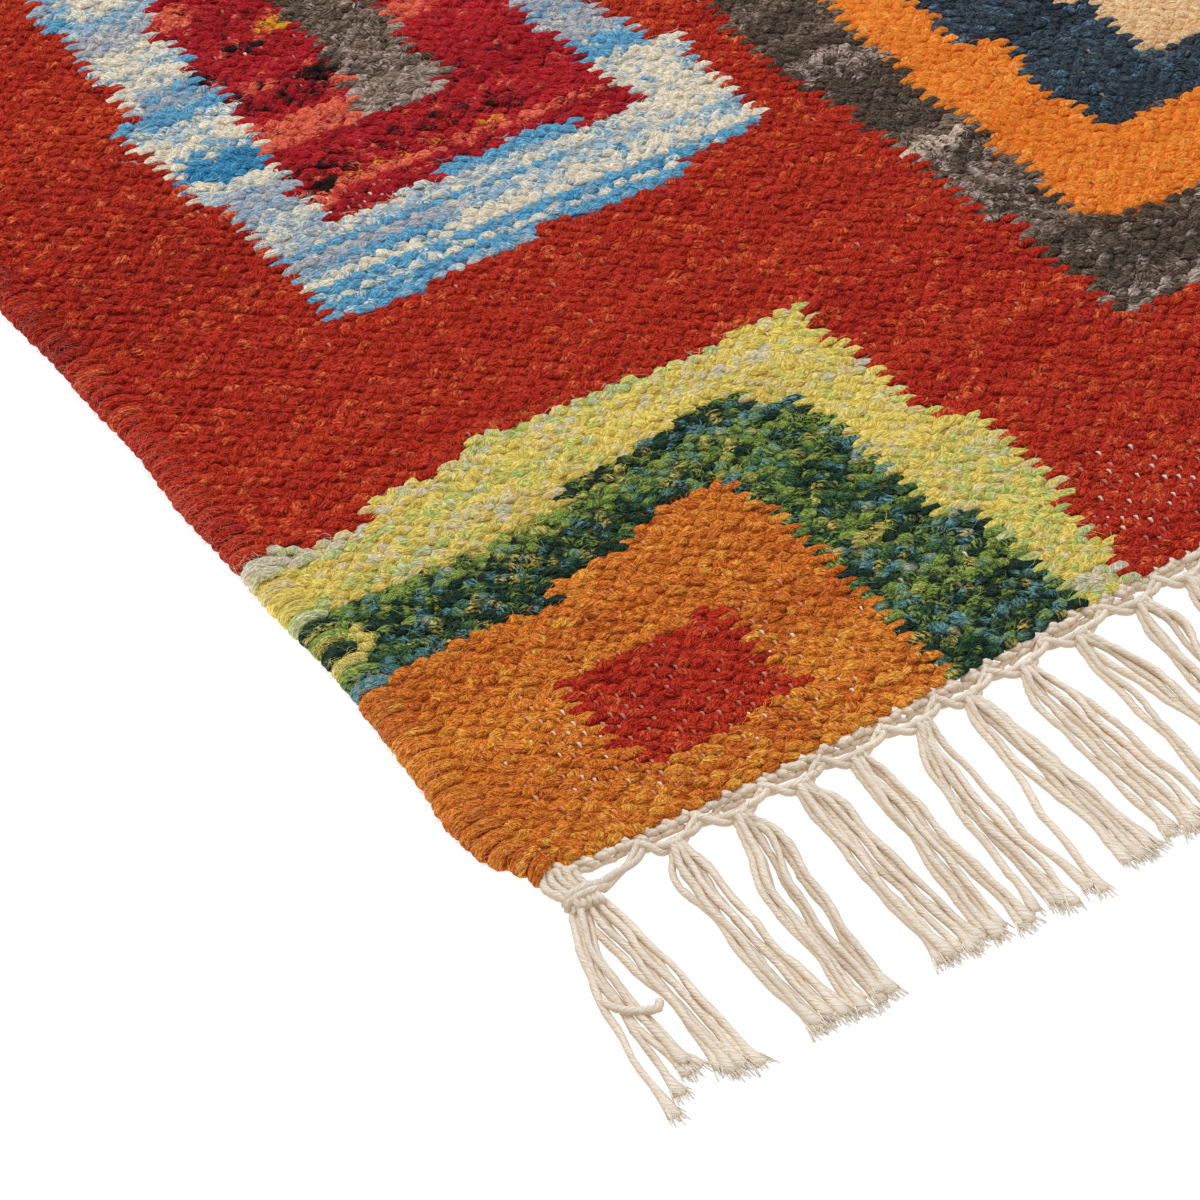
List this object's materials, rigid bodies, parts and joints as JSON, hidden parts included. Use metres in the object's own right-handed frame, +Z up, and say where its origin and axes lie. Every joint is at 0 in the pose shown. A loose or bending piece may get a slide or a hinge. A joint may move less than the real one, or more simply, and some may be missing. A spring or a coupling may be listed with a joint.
{
  "type": "flat-woven wool rug",
  "caption": "Flat-woven rectangular wool rug with nested squares on a red ground and a knotted cotton fringe at both ends, lying flat.",
  "frame": {"origin": "middle of the whole rug with its fringe, on the plane that it lies on", "axes": "+X across the rug along the weft, +Y along the rug towards the far fringe, +Z up through its thickness"},
  "size_m": [0.606, 1.014, 0.005],
  "materials": {
    "wool_weave": "matt hand-spun wool weft in brick-fashion stitches over cotton warps",
    "cotton_cord": "matt unbleached two-ply cotton cord, twined, knotted and cut"
  },
  "bodies": {
    "root": {"woven_body": "wool_weave", "fringe_front": "cotton_cord", "fringe_back": "cotton_cord"}
  },
  "joints": []
}
